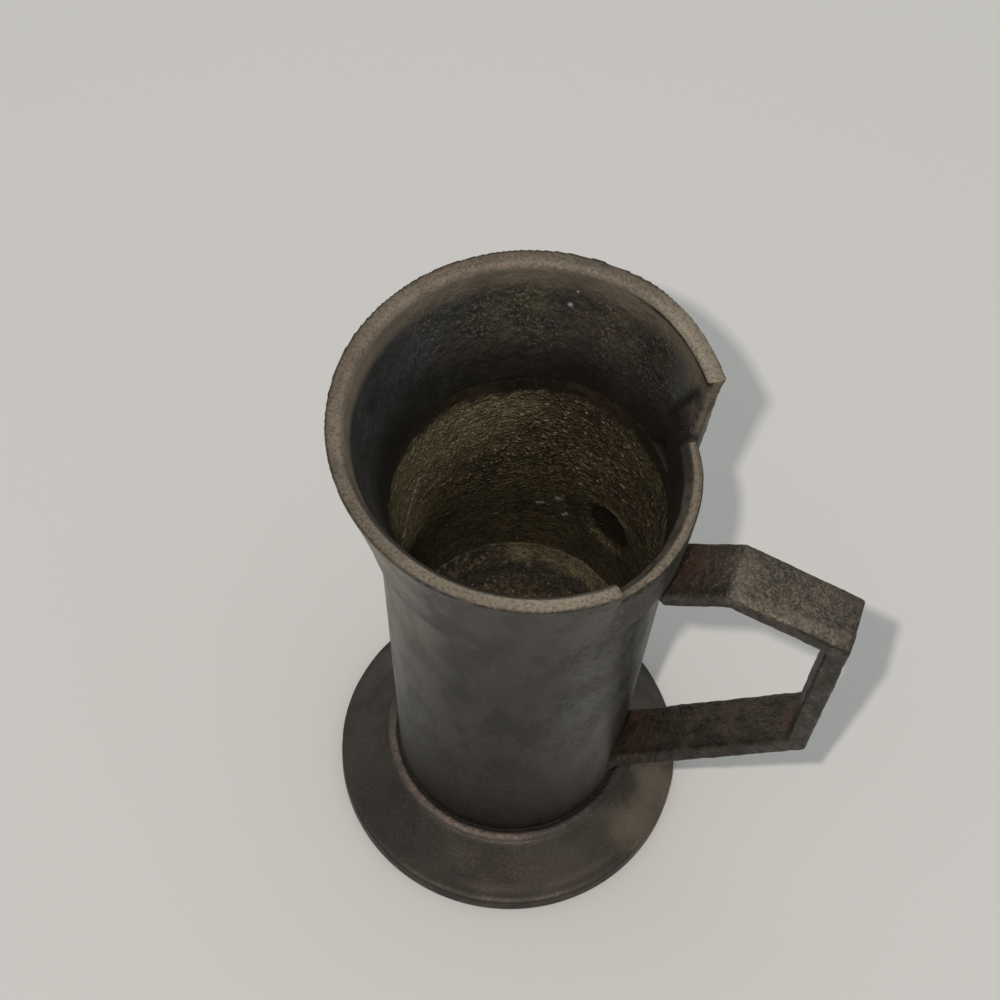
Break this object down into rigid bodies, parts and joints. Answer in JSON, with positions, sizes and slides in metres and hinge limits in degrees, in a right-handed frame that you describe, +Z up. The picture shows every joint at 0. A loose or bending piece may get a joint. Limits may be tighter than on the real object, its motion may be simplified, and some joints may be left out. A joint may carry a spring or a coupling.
{
  "type": "measuring cup",
  "caption": "Tapered metal measuring cup with a raised floor, a flared pouring collar left low beside the handle, a hollow conical foot and an angular strap handle.",
  "frame": {"origin": "middle of the whole outline at the level of the table, which lies beside the cup's axis towards the handle", "axes": "+Z up along the cup's axis, +X from the axis towards the handle, +Y across"},
  "size_m": [0.0722, 0.053, 0.104],
  "materials": {
    "tube_brass": "tarnished grey, smooth outside and rough inside",
    "collar_brass": "tarnished grey with a pale worn rim",
    "foot_brass": "tarnished grey-brown",
    "floor_brass": "rough and dark olive",
    "handle_brass": "tarnished, mottled grey and red-brown",
    "solder": "dull reddish solder",
    "floor_solder": "dull olive solder",
    "handle_solder": "dull red-brown solder"
  },
  "bodies": {
    "root": {"body_tube": "tube_brass", "mouth_collar": "collar_brass", "foot_skirt": "foot_brass", "floor_disc": "floor_brass", "handle_strap": "handle_brass", "foot_solder": "solder", "floor_solder": "floor_solder", "upper_handle_solder": "handle_solder", "lower_handle_solder": "handle_solder"}
  },
  "joints": []
}
